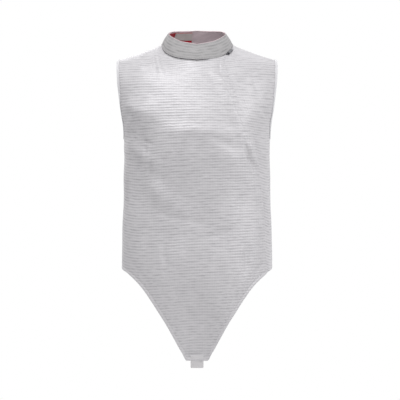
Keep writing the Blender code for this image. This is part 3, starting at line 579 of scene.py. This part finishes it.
# Back: one piece of the same cloth with no seam down its middle, from the shoulder seams to a level hem, sewn
# to the fronts at the shoulders and down both sides.
BACK_FOLDS = table("""
    fold              x      z     lean  half_length  half_width  height
    blade_right      -95   -150      24      52          14        -3.2
    blade_left       104   -165     -20      46          13        -2.8
    waist_right     -112   -345     -12      62          13        -3.6
    waist_left       120   -330      14      66          12        -3.4
    small_of_back     10   -395      78      60          14        -3.0
    hip_right        -58   -490       4      40           9        -2.2
    hip_left          83   -500      -6      36           8        -2.2
""")
BACK_CREASES = table("""
    crease            x      z     lean  half_length  half_width  height
    yoke_right      -112    -52      26      30          6.0       -1.2
    yoke_left        108    -48     -22      28          6.0       -1.1
    armpit_right    -160   -180     -32      34          6.5       -1.7
    armpit_left      164   -174      34      34          6.5       -1.7
    nape_fold        -14    -46      82      36          7.0       -1.0
    spine_pull        22   -235       6      50          8.0       -0.9
    rib_right       -136   -262     -58      30          6.0       -1.3
    rib_left         139   -250      60      30          6.0       -1.3
    drag_right       -62   -372      70      44          7.5       -1.2
    drag_left         66   -420     -72      46          8.0       -1.1
    side_right      -152   -420      -8      52          6.5       -1.4
    side_left        150   -410       8      56          6.0       -1.4
    hem_right       -104   -508      -4      30          6.0       -1.2
    hem_left          24   -512       4      28          6.0       -1.0
""")
FOLDS["back"] = BACK_FOLDS
BACK_STATIONS = np.concatenate([[-1, -0.996], np.linspace(-0.99, 0.99, 128), [0.996, 1]])
back_outer, back_out, weave = panel_grid("back", SIDE_ROWS, lambda v: BACK_STATIONS, BACK_CREASES)
back_cloth = put(
    "back_cloth", wall_mesh("back_cloth", back_outer, back_outer - back_out * CLOTH, weave),
    lame, "back_panel",
)

# Zip: open-ended tape and chain that joins the left side front to the main front, the whole of it hidden
# under the flap. The tape is sewn flat to the cloth. The chain is moulded nylon teeth with a low, even shine.
TAPE, TAPE_DEPTH, TOOTH_PITCH = 1.0, 0.8, 3.2
ZIP_ROWS = FINE_ROWS[(FINE_ROWS > 0.1) & (FINE_ROWS < 3.8)]
tape_stations = np.linspace(1 - ZIP_INNER, 1 - ZIP_OUTER, 9)
shares = {v: front_share(v, tape_stations) for v in ZIP_ROWS}
tape_outer, tape_out, weave = panel_grid("front", ZIP_ROWS, shares.get, FRONT_CREASES)


def tape_material(name, light, dark, rib, direction, roughness=0.6):
    """Narrow woven tape of polyester: fine ribs across it, with a low sheen and a soft edge."""
    material, shader = new_material(name, Roughness=roughness, Sheen_Weight=0.2)
    tree = material.node_tree
    cloth = add(tree, "ShaderNodeUVMap", uv_map="weave").outputs["UV"]
    bands = 2 * pi / (20 * rib * MM)
    ribs = add(tree, "ShaderNodeTexWave", {"Vector": cloth, "Scale": bands, "Distortion": 0.4},
               bands_direction=direction).outputs["Fac"]
    soil = add(tree, "ShaderNodeTexNoise", {"Vector": cloth, "Scale": 70.0, "Detail": 3.0}).outputs["Fac"]
    tone = add(tree, "ShaderNodeMath", {0: soil, 1: 0.6, 2: ribs}, operation="MULTIPLY_ADD", use_clamp=True)
    finish_cloth(shader, tone.outputs[0], light, dark, ribs, 0.4, 0.0004)
    return material


def mottled(name, light, dark, patches, detail=2.0, **values):
    """A hard or twisted material in two close shades, in fine patches."""
    material, shader = new_material(name, **values)
    tree = material.node_tree
    patch = add(tree, "ShaderNodeTexNoise", {"Scale": patches, "Detail": detail}).outputs["Fac"]
    shade = add(tree, "ShaderNodeMix", {0: patch, 6: colour(dark), 7: colour(light)}, data_type="RGBA")
    tree.links.new(shade.outputs[2], shader.inputs["Base Color"])
    return material


zip_tape = put(
    "zip_tape",
    wall_mesh("zip_tape", tape_outer - tape_out * TAPE_DEPTH, tape_outer - tape_out * CLOTH, weave),
    tape_material("woven zip tape", "#cfcdd0", "#a9a7ab", 1.6, "Y"), "front_zip",
)


def resampled(points, outs, step):
    """Points about a step apart along a line, with their outward and onward directions."""
    run = np.concatenate([[0], np.cumsum(np.linalg.norm(np.diff(points, axis=0), axis=1))])
    at = np.arange(step / 2, run[-1] - step / 2, step)
    spot = np.stack([np.interp(at, run, points[:, k]) for k in range(3)], -1)
    out = np.stack([np.interp(at, run, outs[:, k]) for k in range(3)], -1)
    ahead = np.stack([np.interp(at + step / 4, run, points[:, k]) for k in range(3)], -1) - spot
    ahead /= np.linalg.norm(ahead, axis=1)[:, None] + 1e-9
    return spot, out / np.linalg.norm(out, axis=1)[:, None], ahead


def small_blocks(name, places, corners, faces):
    """One mesh of many like small forms, each placed by its spot, its outward and its onward direction."""
    points, found = [], []
    for spot, out, ahead in places:
        beside = np.cross(out, ahead)
        for k in range(len(spot)):
            found += [[corner + len(points) for corner in face] for face in faces]
            for a, b, c in corners:
                points.append(tuple((spot[k] + ahead[k] * a + beside[k] * b + out[k] * c) * MM))
    mesh = bpy.data.meshes.new(name)
    mesh.from_pydata(points, [], found)
    mesh.shade_smooth()
    return mesh


BLOCK = [(x, y, z) for x in (-0.9, 0.9) for y in (-1.7, 1.7) for z in (-0.1, 0.5)]
BLOCK_FACES = [(0, 1, 3, 2), (4, 6, 7, 5), (0, 4, 5, 1), (2, 3, 7, 6), (0, 2, 6, 4), (1, 5, 7, 3)]
CHAIN_COLUMN = 4
chain_out = tape_out[:, CHAIN_COLUMN]
chain_line = resampled(tape_outer[:, CHAIN_COLUMN] - chain_out * TAPE_DEPTH, chain_out, TOOTH_PITCH)
nylon = mottled("moulded nylon teeth", "#d2d1d4", "#b9b8bc", 300.0, Roughness=0.35)
put("zip_teeth", small_blocks("zip_teeth", [chain_line], BLOCK, BLOCK_FACES), nylon)

# Collar: a standing band of the same cloth, interfaced so that it stands by itself. It starts at the wearer's
# left, goes round the front and back and laps over its own end. Its edge is turned and topstitched.
LAP_END, LAP_RISE, COLLAR_SEAT, COLLAR_HEIGHT, COLLAR_BOW = 80, 1.1, 0.45, 40.0, 1.6
PULL_TURN, PULL_HALF_TURN, PULL_RISE, FLARE_RISE = 65.0, 11.0, 0.4, 0.05
COLLAR_FOLDS = table("""
    fold        angle  share  half_turn  half_rise  height
    cheek_left     34   0.45      7         0.5      -0.7
    cheek_right   -31   0.50      8         0.6      -0.8
    chin            4   0.30     12         0.3       0.5
    ear_right     -74   0.55      6         0.6      -0.7
    ear_left       96   0.55      7         0.6      -0.7
    nape_right   -140   0.45      9         0.5      -0.8
    nape_left     158   0.50      9         0.5       0.6
""")


def collar_point(angle, share):
    """A point of the collar's outer face: share is 0 at the neck seam and 1 at the rim."""
    turn, share = np.radians(angle), np.asarray(share)[..., None]
    rim_y = np.where(np.cos(turn) > 0, COLLAR["rim_y"][0], COLLAR["rim_y"][-1])
    rim = np.stack([collar_height("rim_x", angle) * np.sin(turn), rim_y * np.abs(np.cos(turn)),
                    collar_height("rim_z", angle)], -1)
    out = np.stack([np.sin(turn), -np.cos(turn), 0 * turn], -1)
    return neck_seam(angle) + (rim - neck_seam(angle)) * share + out * COLLAR_BOW * np.sin(np.pi * share)


def collar_grid(angles, first, last, count, flare=0.0):
    """Points, outward directions and weave lengths of a band round the collar, between two shares. Its lower
    edge can flare out by some millimetres, and the zip's pull presses it in."""
    step = np.linspace(0, 1, count)[:, None]
    share = first + (last - first) * step + 0 * angles
    angle = angles + 0 * share
    points = collar_point(angle, share)
    round_neck = collar_point(angle + 0.5, share) - collar_point(angle - 0.5, share)
    up = collar_point(angle, share + 0.01) - collar_point(angle, share - 0.01)
    out = np.cross(round_neck, up)
    out /= np.linalg.norm(out, axis=-1)[..., None]
    press = np.zeros(points.shape[:2])
    for at, height_at, half_turn, half_rise, height in zip(*(COLLAR_FOLDS[name] for name in COLLAR_FOLDS)):
        away = (angle - at + 180) % 360 - 180
        press += height * np.exp(-((away / half_turn) ** 2) - ((share - height_at) / half_rise) ** 2)
    press *= np.sin(np.pi * np.clip(share, 0, 1)) ** 0.5
    pull = np.exp(-((((angle - PULL_TURN + 180) % 360 - 180) / PULL_HALF_TURN) ** 2))
    low, wide = np.exp(-((share / FLARE_RISE) ** 2)), np.exp(-((share / PULL_RISE) ** 2))
    press += (1 - pull) * flare * low - pull * PULL_PRESS * wide
    along = np.cumsum(np.linalg.norm(np.diff(points, axis=1, prepend=points[:, :1]), axis=-1), axis=1)
    return points + out * press[..., None], out, np.stack([along, share * COLLAR_HEIGHT], -1)


collar_angles = np.arange(LAP_END, LAP_END - 380.5, -1.5)
lift = np.interp(collar_angles, [-300, 40, 60, 80], [0, 0, CLOTH + SEAM_GAP, CLOTH + SEAM_GAP])
seat = (COLLAR_SEAT + LAP_RISE * lift) / COLLAR_HEIGHT
points, collar_out, weave = collar_grid(collar_angles, seat, 1.0, 25, flare=0.9)
collar_outer = points + collar_out * lift[:, None]
COLLAR_STITCH_ROW, SEAM_STITCH_ROW = 22, 2
collar_outer[COLLAR_STITCH_ROW] -= collar_out[COLLAR_STITCH_ROW] * STITCH_DRAW
collar_lame = metal_cloth("interfaced cloth woven with steel thread", "#bcbabb", "#838283", roughness=0.65,
                          metallic=0.05, rib_bump=0.25, uneven=1.2)
collar = put(
    "standing_collar",
    wall_mesh("standing_collar", collar_outer, points + collar_out * (lift - CLOTH)[:, None], weave),
    collar_lame, "collar",
)

# Collar lining: soft mauve-grey cotton inside the collar, with its turned edge showing as a pale line along
# the rim.
LINING = 1.2
lining_angles = np.arange(60, -300.1, -2.0)
lining_angles[-1] += 0.3
points, out, weave = collar_grid(lining_angles, 0.04, 0.965, 15)
depth = CLOTH + SEAM_GAP


def cotton(name, light, dark, grain=420.0):
    """Plain cotton, matt, with a fine even grain and slow changes of shade where it has been handled."""
    material, shader = new_material(name, Roughness=0.9, Sheen_Weight=0.15)
    tree = material.node_tree
    cloth = add(tree, "ShaderNodeUVMap", uv_map="weave").outputs["UV"]
    fine = add(tree, "ShaderNodeTexNoise", {"Vector": cloth, "Scale": grain, "Detail": 2.0}).outputs["Fac"]
    slow = add(tree, "ShaderNodeTexNoise", {"Vector": cloth, "Scale": 38.0, "Detail": 3.0}).outputs["Fac"]
    tone = add(tree, "ShaderNodeMath", {0: fine, 1: 0.5, 2: slow}, operation="MULTIPLY_ADD", use_clamp=True)
    finish_cloth(shader, tone.outputs[0], light, dark, fine, 0.3, 0.0004)
    return material


lining = put(
    "lining_band", wall_mesh("lining_band", points - out * depth, points - out * (depth + LINING), weave),
    cotton("mauve-grey cotton lining", "#cbbabf", "#92858a"), "collar_lining",
)


def ring_mesh(name, rings, weave):
    """A closed loop through rings of points, the last one joined to the first."""
    at = np.arange(rings.shape[0] * rings.shape[1]).reshape(rings.shape[:2])
    after = np.roll(at, -1, axis=0)
    faces = np.stack([at, np.roll(at, -1, 1), np.roll(after, -1, 1), after], -1).reshape(-1, 4)
    mesh = bpy.data.meshes.new(name)
    mesh.from_pydata((rings.reshape(-1, 3) * MM).tolist(), [], faces.tolist())
    mesh.shade_smooth()
    lay_weave(mesh, weave)
    return mesh


def cord_mesh(name, centres, outs, radius, sides=8, step=3.0):
    """A round cord along a level loop of centres a few millimetres apart."""
    turn = (np.arange(sides) * 2 * pi / sides)[None, :, None]
    up = np.array([0.0, 0.0, 1.0])
    rings = centres[:, None] + radius * (np.cos(turn) * outs[:, None] + np.sin(turn) * up)
    along, round_it = np.mgrid[: len(centres), :sides]
    return ring_mesh(name, rings, np.stack([round_it * radius, along * step], -1))


edge_angles = lining_angles[:-1]
edge = collar_point(edge_angles, np.ones(len(edge_angles)))
_, edge_out, _ = collar_grid(edge_angles, 1.0, 1.0, 2)
TURNED_RADIUS, TURNED_RISE, TURNED_BEHIND = 0.85, 0.8, 0.3
turned = edge - edge_out[0] * (depth + TURNED_BEHIND)
turned[:, 2] += TURNED_RISE
pale = cotton("turned cotton edge", "#f2dde1", "#d2b6bc")
put("collar_turned_edge", cord_mesh("collar_turned_edge", turned, edge_out[0], TURNED_RADIUS), pale)

# Neck seam: where the collar is sewn on, a dark cord lies along the seam at the front and the nape. Its dark
# grey is painted shadow, standing for the shade in the gap under the collar's lower edge. It sinks between
# the layers at the shoulders and beside the zip slider.
CORD_RADIUS, CORD_PROUD, CORD_DROP = 0.95, 0.1, 0.5
CORD_TURNS = [-38, -12, 66, 80, 110, 125, 235, 250]
CORD_SUNK = [1.8, 0, 0, 1.8, 1.8, 0, 0, 1.8]
once_round = slice(0, 240)
sunk = np.interp(-collar_angles[once_round], CORD_TURNS, CORD_SUNK)
seam_out = collar_out[0, once_round]
seam = collar_outer[0, once_round] - seam_out * (sunk - CORD_PROUD)[:, None]
seam[:, 2] -= CORD_DROP
# Painted shadow: the cord's dark grey stands for the shade under the collar's lower edge, not for a dark
# thread.
seam_shadow_cord = cotton("dark cord painted as seam shadow", "#58565a", "#3d3c40")
put("neck_seam", cord_mesh("neck_seam", seam, seam_out, CORD_RADIUS), seam_shadow_cord)

# Neck patch and label: a crimson cotton patch at the wearer's right inside the neck, and a plain satin label
# sewn on it.
behind = depth + LINING + SEAM_GAP
for name, node, first, last, low, high, slot, flat, area, material in (
    ("crimson_patch", "neck_patch", -100, -170, 0.1, 0.93, "crimson", (0.095, 0.034), 0.0030,
     cotton("crimson cotton", "#b3202f", "#7c0f1c")),
    ("plain_label", "neck_label", -130, -170, 0.4, 0.91, "label", (0.052, 0.0225), 0.00108,
     cotton("plain satin label", "#bdb4b2", "#9a908e", grain=700.0)),
):
    points, out, weave = collar_grid(np.arange(first, last - 0.5, -2.5), low, high, 12)
    mesh = wall_mesh(name, points - out * behind, points - out * (behind + TAPE), weave)
    patch = put(name, mesh, material, node)
    behind += TAPE + SEAM_GAP

# Armhole bindings: bias tape of polyester, folded over the cut edge of each armhole and sewn through all its
# layers. It keeps the edge from stretching and shows as a pale, smooth rim.
BINDING_WIDTH, BINDING_OVER, BINDING_UNDER = 6.5, 0.35, CLOTH + 0.8
EDGE_COLUMNS, ROWS_BELOW = 14, 8
binding_tape = tape_material("folded bias tape", "#ecebee", "#d0cfd3", 1.3, "X", roughness=0.5)
armhole_rows = np.count_nonzero(FINE_ROWS <= 2)
stitch_lines = []
for name, node, front_grid, front_dir, column in (
    ("right_armhole_binding", "armhole_binding_right", front_outer, front_out, 0),
    ("left_armhole_binding", "armhole_binding_left", side_outer, side_out, -1),
):
    strip = slice(0, EDGE_COLUMNS) if column == 0 else slice(-EDGE_COLUMNS, None)
    near, near_out = (
        np.concatenate([grid[: armhole_rows + ROWS_BELOW, strip] for grid in pair], axis=1).reshape(-1, 3)
        for pair in ((front_grid, back_outer), (front_dir, back_out))
    )
    down, down_out = front_grid[:armhole_rows, column], front_dir[:armhole_rows, column]
    rise, rise_out = back_outer[:armhole_rows, column][::-1], back_out[:armhole_rows, column][::-1]
    top, foot = (down[0] + rise[-1]) / 2, (down[-1] + rise[0]) / 2
    top_out, foot_out = down_out[0] + rise_out[-1], down_out[-1] + rise_out[0]
    line = np.concatenate([[top], down[1:-1], [foot], rise[1:-1]])
    outs = np.concatenate([[top_out], down_out[1:-1], [foot_out], rise_out[1:-1]])
    for _ in range(4):
        line = (np.roll(line, 1, 0) + 2 * line + np.roll(line, -1, 0)) / 4
        outs = (np.roll(outs, 1, 0) + 2 * outs + np.roll(outs, -1, 0)) / 4
    outs /= np.linalg.norm(outs, axis=1)[:, None]
    ahead = np.roll(line, -1, 0) - np.roll(line, 1, 0)
    past = np.cross(ahead, outs)
    past /= np.linalg.norm(past, axis=1)[:, None]
    centre = line.mean(axis=0)
    past *= np.sign(np.einsum("ij,ij->i", past, centre - line))[:, None]
    wanted = line - past * BINDING_WIDTH
    nearest = np.argmin(np.linalg.norm(near[None] - wanted[:, None], axis=2), axis=1)
    leg_out = near_out[nearest]
    leg = wanted - leg_out * np.einsum("ij,ij->i", wanted - near[nearest], leg_out)[:, None]
    over, under = BINDING_OVER, BINDING_UNDER
    rings = np.stack([
        leg + leg_out * over,
        leg + leg_out * (over + TAPE * 0.7),
        leg * 0.5 + line * 0.5 + outs * (over + TAPE),
        line + past * 0.2 + outs * (over + TAPE),
        line + past * (over + TAPE) - outs * 0.4,
        line + past * (over + TAPE) - outs * (under - 0.4),
        line + past * 0.2 - outs * (under + TAPE),
        leg - leg_out * (under + TAPE),
        leg - leg_out * under,
        line + past * over - outs * under,
        line + past * over + outs * over,
    ], 1)
    run = np.concatenate([[0], np.cumsum(np.linalg.norm(np.diff(line, axis=0), axis=1))])
    weave = np.stack(np.broadcast_arrays(run[:, None], np.arange(rings.shape[1]) * 2.0), -1)
    mesh = ring_mesh(name, rings, weave)
    mesh.set_sharp_from_angle(angle=radians(50))
    binding = put(name, mesh, binding_tape, node)
    mid = leg * 0.72 + line * 0.28 + outs * (over + TAPE * 0.85)
    stitch_lines.append((np.concatenate([mid, mid[:1]]), np.concatenate([leg_out, leg_out[:1]])))

# Point tab: flat polyester webbing, doubled and sewn behind the tip. It takes the strap that passes between
# the legs, and its ends are hidden behind the cloth.
TAB_WIDTH, TAB_DROP, TAB_UNDER, TAB_THICKNESS, TAB_ROUND, TAB_ROUND_IN = 30.6, 17.8, 12.0, 2.2, 2.4, 0.28
tip = -757.0
slope = (body("front", tip + 20) - body("front", tip)) / 20
out = np.array([0, -1, -slope]) / np.hypot(1, slope)
foot = tip - TAB_DROP
heights = np.concatenate([np.linspace(tip + TAB_UNDER, foot + 2, 14), [foot + 0.8, foot]])
across = np.linspace(-1, 1, 17)
rows = []
for z in heights:
    drop = max(0.0, TAB_ROUND - (z - foot))
    half = TAB_WIDTH / 2 - TAB_ROUND_IN * drop**2
    back = body("front", tip) + slope * (z - tip) + SEAM_GAP / 2
    rows.append([[x * half, -back, z] for x in across])
face = np.array(rows) - out * (CLOTH + SEAM_GAP)
weave = np.stack([face[..., 0], face[..., 2]], -1)
webbing = tape_material("doubled polyester webbing", "#dfdddf", "#c6c3c6", 2.2, "Y")
tab = put(
    "point_tab", wall_mesh("point_tab", face, face - out * TAB_THICKNESS, weave),
    webbing, "tip_tab",
)

# Slider and pull tab: die-cast zinc, plated dark, with worn patches that show a little brighter. The slider
# closes the chain at the neck, and the tab turns on its bail.
plated = mottled("dark plated zinc", "#97979c", "#66666b", 420.0, detail=4.0, Metallic=1.0, Roughness=0.38)
for node in ("zip_slider", "zip_pull"):
    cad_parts[node].material_slots[0].material = plated

# Sewing: three-ply polyester thread, matt with a fine twist, a stitch to every 3.4 mm. It holds the flap, the
# hems, the collar and the bindings; each stitch lies a little proud of the cloth that it draws in.
STITCH, FLAP_EDGE_STITCH, BESIDE_FLAP_COLUMN = 3.4, 0.993, 7
SEED = [(-1.35, 0, -0.1), (0, -0.42, 0.05), (0, 0.42, 0.05), (0, 0, 0.42), (0, 0, -0.3), (1.35, 0, -0.1)]
SEED_FACES = [(0, 1, 3), (0, 3, 2), (0, 2, 4), (0, 4, 1), (5, 3, 1), (5, 2, 3), (5, 4, 2), (5, 1, 4)]


def inset(points, outs, edge, edge_out, distance):
    """A line on a grid's face, a distance above its lower edge."""
    inward = np.cross(np.gradient(edge, axis=0), edge_out)
    inward /= np.linalg.norm(inward, axis=1)[:, None]
    inward *= np.sign(np.einsum("ij,j->i", inward, [0, 0, 1]))[:, None]
    wanted = edge + inward * distance
    flat, flat_out = points.reshape(-1, 3), outs.reshape(-1, 3)
    nearest = np.array([int(np.argmin(((flat - spot) ** 2).sum(axis=1))) for spot in wanted])
    out = flat_out[nearest]
    return wanted - out * np.einsum("ij,ij->i", wanted - flat[nearest], out)[:, None], out


flap_column = int(np.argmin(np.abs(FRONT_STATIONS - (1 - FLAP_STITCH))))
edge_column = int(np.argmin(np.abs(FRONT_STATIONS - FLAP_EDGE_STITCH)))
for column in (flap_column, edge_column):
    stitch_lines.append((front_outer[2:-2, column], front_out[2:-2, column]))
stitch_lines.append((side_outer[2:, BESIDE_FLAP_COLUMN], side_out[2:, BESIDE_FLAP_COLUMN]))
for grid, grid_out, rows, first in (
    (front_outer, front_out, HEM_ROWS, 2), (back_outer, back_out, 16, 2), (side_outer, side_out, 16, 8),
):
    hem, hem_out = grid[-1, first:-2], grid_out[-1, first:-2]
    stitch_lines.append(inset(grid[-rows:], grid_out[-rows:], hem, hem_out, HEM_STITCH))
for row in (COLLAR_STITCH_ROW, SEAM_STITCH_ROW):
    stitch_lines.append((collar_outer[row], collar_out[row]))
places = [resampled(points, outs, STITCH) for points, outs in stitch_lines]
thread = mottled("polyester thread", "#dddbde", "#b9b7ba", 900.0, Roughness=0.55, Sheen_Weight=0.2)
put("sewing_thread", small_blocks("sewing_thread", places, SEED, SEED_FACES), thread)

# Studio: a pale, matt painted floor at standing height below the jacket, a white surround that is brighter
# above and darker at the front left, and four soft lights.
FLOOR_Z = -1.42
bpy.ops.mesh.primitive_circle_add(vertices=96, radius=1.7, fill_type="NGON", location=(0, 0, FLOOR_Z))
floor = bpy.context.object
floor.name = "pale_floor"
paint, shader = new_material("pale painted floor", Roughness=0.8)
shader.inputs["Base Color"].default_value = colour("#cfcfcf")
floor.data.materials.append(paint)

world = bpy.data.worlds.new("white surround")
bpy.context.scene.world = world
world.use_nodes = True
tree = world.node_tree
way = add(tree, "ShaderNodeSeparateXYZ", {0: add(tree, "ShaderNodeTexCoord").outputs["Generated"]}).outputs
left = add(tree, "ShaderNodeMath", {0: way["X"], 1: -0.5}, operation="MULTIPLY").outputs[0]
above_left = add(tree, "ShaderNodeMath", {0: way["Z"], 1: 0.85, 2: left}, operation="MULTIPLY_ADD").outputs[0]
above = add(tree, "ShaderNodeMapRange", {"Value": above_left, "From Min": 0.25, "From Max": 0.85,
                                         "To Min": 1.0, "To Max": 1.6}).outputs[0]
back = add(tree, "ShaderNodeMath", {0: way["Y"], 1: 0.87}, operation="MULTIPLY").outputs[0]
back_right = add(tree, "ShaderNodeMath", {0: way["X"], 1: 0.5, 2: back}, operation="MULTIPLY_ADD").outputs[0]
around = add(tree, "ShaderNodeMapRange", {"Value": back_right, "From Min": -0.25, "From Max": 0.75,
                                          "To Min": 0.34, "To Max": 1.0}).outputs[0]
level = add(tree, "ShaderNodeMath", {0: above, 1: around}, operation="MULTIPLY")
tree.links.new(level.outputs[0], tree.nodes["Background"].inputs["Strength"])
tree.nodes["Background"].inputs["Color"].default_value = (1, 1, 1, 1)

for name, place, size, watts in (
    ("high_softbox", (-0.6, -2.0, 1.6), 1.5, 32.0),
    ("right_softbox", (1.9, -2.1, 0.5), 1.5, 21.0),
    ("left_fill", (-2.4, -0.7, 1.2), 1.5, 8.0),
    ("back_fill", (-0.8, 2.6, 1.1), 1.6, 15.0),
):
    lamp = bpy.data.lights.new(name, "AREA")
    lamp.size = size
    lamp.energy = watts
    softbox = bpy.data.objects.new(name, lamp)
    softbox.location = place
    aim = Vector((0, 0, -0.3)) - Vector(place)
    softbox.rotation_euler = aim.to_track_quat("-Z", "Y").to_euler()
    bpy.context.scene.collection.objects.link(softbox)

camera = bpy.data.objects.new("camera", bpy.data.cameras.new("camera"))
camera.data.lens = 110.2
camera.data.sensor_width = 36.0
camera.location = (0.0071, -3.0, -0.3749)
camera.rotation_euler = (radians(90), 0, 0)
bpy.context.scene.collection.objects.link(camera)
bpy.context.scene.camera = camera
bpy.context.scene.view_settings.view_transform = "Standard"
